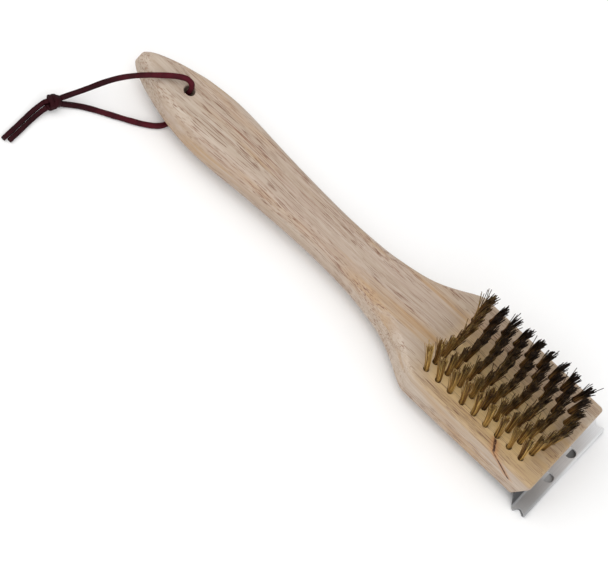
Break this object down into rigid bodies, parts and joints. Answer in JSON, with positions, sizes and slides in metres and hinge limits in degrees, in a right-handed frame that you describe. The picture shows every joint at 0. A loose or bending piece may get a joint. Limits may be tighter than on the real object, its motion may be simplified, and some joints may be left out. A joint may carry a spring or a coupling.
{
  "type": "grill cleaning brush",
  "caption": "Wooden grill cleaning brush with rows of brass wire tufts, a folded steel scraper with notched ends, and a knotted leather hanging lace.",
  "frame": {"origin": "bottom centre of the brush without its lace, on the surface it lies on, back down and bristles up", "axes": "+X from the handle tip towards the head and scraper, +Z towards the bristle side, Y across the head"},
  "size_m": [0.3357, 0.1268, 0.0442],
  "materials": {
    "wood": "fine sanded, thin oil",
    "brass_wire": "crimped wire, darkened tips",
    "anchor_steel": "plain wire",
    "scraper_steel": "satin",
    "screw_steel": "bright",
    "leather": "dyed, dull"
  },
  "bodies": {
    "root": {"wooden_body": "wood", "bristle_row_1": "brass_wire", "tuft_anchors_row_1": "anchor_steel", "bristle_row_2": "brass_wire", "tuft_anchors_row_2": "anchor_steel", "bristle_row_3": "brass_wire", "tuft_anchors_row_3": "anchor_steel", "bristle_row_4": "brass_wire", "tuft_anchors_row_4": "anchor_steel", "bristle_row_5": "brass_wire", "tuft_anchors_row_5": "anchor_steel", "bristle_row_6": "brass_wire", "tuft_anchors_row_6": "anchor_steel", "bristle_row_7": "brass_wire", "tuft_anchors_row_7": "anchor_steel", "bristle_row_8": "brass_wire", "tuft_anchors_row_8": "anchor_steel", "bristle_row_9": "brass_wire", "tuft_anchors_row_9": "anchor_steel", "scraper_blade": "scraper_steel", "scraper_screws": "screw_steel", "lace_upper_strand": "leather", "lace_lower_strand": "leather", "lace_knot": "leather", "lace_long_tail": "leather", "lace_short_tail": "leather"}
  },
  "joints": []
}
